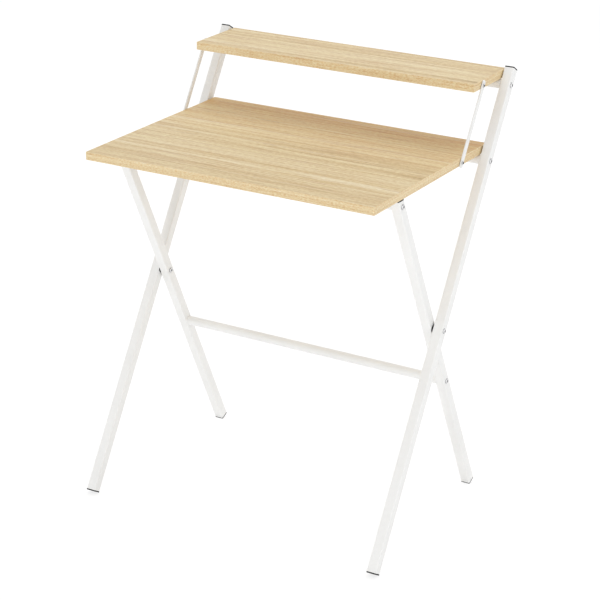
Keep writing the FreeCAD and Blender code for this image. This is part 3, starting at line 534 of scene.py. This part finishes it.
# Edge bands: a strip of plastic printed as oak, glued round each board and rounded along both edges. Its
# grain follows the edge all the way round.
band_shades = [(0.32, (0.660, 0.480, 0.252)), (0.50, (0.752, 0.586, 0.345)), (0.68, (0.815, 0.672, 0.430))]
band_specks = [(0.32, (0.38, 0.37, 0.34)), (0.68, (0.61, 0.62, 0.64))]
band_grain = {
    "streaks": {"stretch": (5.0, 5.0, 480.0), "detail": 3.0, "roughness": 0.7},
    "specks": {"stretch": (200.0, 200.0, 560.0)},
    "lines": {"stretch": (34.0, 34.0, 800.0), "detail": 2.0},
}
band_lines_amount = 0.7
band_roughness = (0.36, 0.48)
band_relief = 0.00003

oak_band, tree, shader, place = new_finish("oak_edge")
grain = grain_noises(tree, place, band_grain)
colour = shades(tree, grain["streaks"], band_shades)
colour = laid_over(tree, "OVERLAY", 1.0, colour, shades(tree, grain["specks"], band_specks))
line_shades = shades(tree, grain["lines"], oak_tones["lines"])
colour = laid_over(tree, "OVERLAY", band_lines_amount, colour, line_shades)
tree.links.new(colour, shader.inputs["Base Color"])
tree.links.new(levels(tree, grain["lines"], *band_roughness), shader.inputs["Roughness"])
relief(tree, shader, grain["lines"], band_relief)
dressed("desktop_edge_band", oak_band)
dressed("shelf_edge_band", oak_band)

# Straps and clips: black moulded plastic, screwed up into the boards with pan head screws. The straps turn
# on the pivot bars, the clips hook over the upper cross bar and lock the open desk.
for node in ("desktop_hinge_saddles", "shelf_hinge_saddles", "desktop_bar_clips"):
    dressed(node, black_plastic)
for node in ("desktop_saddle_screws", "shelf_saddle_screws", "bar_clip_screws"):
    dressed(node, zinc_plate)

# Links: flat steel bars with round ends, coated white. They join the edges of the desktop and the shelf,
# parallel to the tall legs, so that both boards swing together; shoulder screws hold them, on thin washers.
link_half_width = 0.0050
link_end_reach = 0.0106
link_bevel = 0.0004
link_round_steps = 25
link_screw_head = {"radius": 0.0037, "top": 0.0030, "height": 0.0016, "rim": 0.0005, "socket": 0.0040}
link_seat_x = 0.3239
# Painted shade for the link screws: near black on their rims and in their sockets.
screw_painted_shade_tones = [(0.30, (0.020, 0.020, 0.022)), (0.70, (0.050, 0.049, 0.048))]
link_rise = hinges["shelf_fold"] - hinges["desktop_fold"]
link_spacing = np.linalg.norm(link_rise)


def link_shell(node):
    """Outline of two half circles joined by straight sides, carried through the bar's thickness, with both
    faces drawn in by a bevel."""
    low, high = node_box(node)
    half_turn = np.linspace(0.0, np.pi, link_round_steps)
    angle = np.concatenate([half_turn, half_turn + np.pi])
    overhang = link_end_reach - link_half_width
    centre = np.repeat([link_spacing + overhang, -overhang], link_round_steps)
    radius = link_half_width - np.array([link_bevel, 0.0, 0.0, link_bevel])[:, None]
    through, along = leaning(tall_turn)
    depth = (radius * np.cos(angle))[..., None] * through
    length = (centre + radius * np.sin(angle))[..., None] * along
    x = np.array([low[0], low[0] + link_bevel, high[0] - link_bevel, high[0]])[:, None, None]
    return hinges["right_link_turn"] + x * across + depth + length


for hand in ("right", "left"):
    link = new_piece(f"{hand}_link_bar", [link_shell(f"{hand}_link")], white_coat)
    fitted(link, f"{hand}_link", f"{hand}_link")
# Finish that paints shade on the link screws' rims and sockets.
screw_painted_shade = painted_shade_finish("screw_painted_shade", screw_painted_shade_tones)
lower_head = button_head(hinges["right_link_turn"] + link_seat_x * across, **link_screw_head)
upper_head = lower_head + link_rise
for height, body, head in (("lower", "desktop", lower_head), ("upper", "shelf", upper_head)):
    screw_heads = bolt_heads(f"{height}_link_screw_heads", [head], screw_painted_shade)
    fitted(screw_heads, f"{height}_link_screws", body)
    dressed(f"{height}_link_washers", black_plastic)

# Floor: a plain white sheet that runs far past the picture. It takes the desk's soft shadow. What the
# camera sees of it is lifted to the white of the backdrop, with the shadow fainter on it.
floor_reach = 14.0
floor_white = 0.98
floor_seen = 0.28
floor_lift = 0.79


def seen_directly(tree):
    """One where the camera, a reflection or a view through glass meets the surface, and nought for other
    light."""
    path = tree.nodes.new("ShaderNodeLightPath")
    total = path.outputs["Is Camera Ray"]
    for output in ("Is Glossy Ray", "Is Transmission Ray"):
        joined = tree.nodes.new("ShaderNodeMath")
        joined.operation = "MAXIMUM"
        tree.links.new(total, joined.inputs[0])
        tree.links.new(path.outputs[output], joined.inputs[1])
        total = joined.outputs["Value"]
    return total


floor_mesh = bpy.data.meshes.new("floor")
corners = np.array([(-1.0, -1.0, 0.0), (1.0, -1.0, 0.0), (1.0, 1.0, 0.0), (-1.0, 1.0, 0.0)]) * floor_reach
floor_mesh.from_pydata(corners.tolist(), [], [(0, 1, 2, 3)])
floor = bpy.data.objects.new("floor", floor_mesh)
bpy.context.scene.collection.objects.link(floor)
floor_finish, tree, shader, _ = new_finish("white_floor")
shader.inputs["Roughness"].default_value = 1.0
shader.inputs["Specular IOR Level"].default_value = 0.0
shader.inputs["Emission Color"].default_value = (1.0, 1.0, 1.0, 1.0)
seen = seen_directly(tree)
floor_shade = levels(tree, seen, floor_white, floor_seen, start=0.0, end=1.0)
floor_light = levels(tree, seen, 0.0, floor_lift, start=0.0, end=1.0)
tree.links.new(floor_shade, shader.inputs["Base Color"])
tree.links.new(floor_light, shader.inputs["Emission Strength"])
floor_mesh.materials.append(floor_finish)

# Light: an even white studio with one broad lamp overhead and four weak ones low on all sides, at a level
# that keeps the white legs grey enough to stand out from the backdrop.
studio_level = 0.74
backdrop_level = 1.0

world = bpy.data.worlds.new("studio")
bpy.context.scene.world = world
world.use_nodes = True
tree = world.node_tree
background = tree.nodes["Background"]
background.inputs["Color"].default_value = (1.0, 1.0, 1.0, 1.0)
studio_light = levels(tree, seen_directly(tree), studio_level, backdrop_level, start=0.0, end=1.0)
tree.links.new(studio_light, background.inputs["Strength"])


def soft_lamp(name, place, target, size, power):
    """Square lamp that looks from its place to a target."""
    data = bpy.data.lights.new(name, "AREA")
    data.size = size
    data.energy = power
    lamp = bpy.data.objects.new(name, data)
    lamp.location = place
    lamp.rotation_euler = (Vector(target) - Vector(place)).to_track_quat("-Z", "Y").to_euler()
    bpy.context.scene.collection.objects.link(lamp)


soft_lamp("high_lamp", place=(0.25, 1.4, 3.9), target=(0.0, 0.0, 0.7), size=2.8, power=45.0)
soft_lamp("left_lamp", place=(-4.0, -0.6, 1.0), target=(0.0, 0.0, 0.5), size=1.8, power=18.0)
soft_lamp("right_lamp", place=(4.0, -0.6, 1.0), target=(0.0, 0.0, 0.5), size=1.8, power=18.0)
soft_lamp("front_lamp", place=(0.3, -3.6, 0.4), target=(0.0, 0.0, 0.4), size=0.7, power=20.0)
soft_lamp("back_lamp", place=(0.0, 3.6, 0.7), target=(0.0, 0.0, 0.4), size=1.3, power=8.0)

# Camera: a long lens in front of the desk and to its right, about a metre above the shelf. It looks down on
# the desk and is level from side to side. The focus is in pixels of the picture, the angles are in degrees.
camera_focus = 1935.71
picture_width = 600.0
camera_place = (1.88952, -3.11686, 1.86577)
camera_pitch = 21.7839
camera_yaw = 31.1084

camera_data = bpy.data.cameras.new("camera")
camera_data.sensor_width = 36.0
camera_data.lens = camera_focus / picture_width * camera_data.sensor_width
camera = bpy.data.objects.new("camera", camera_data)
camera.location = camera_place
camera.rotation_euler = (np.radians(90.0 - camera_pitch), 0.0, np.radians(camera_yaw))
bpy.context.scene.collection.objects.link(camera)
bpy.context.scene.camera = camera
bpy.context.scene.view_settings.view_transform = "Standard"
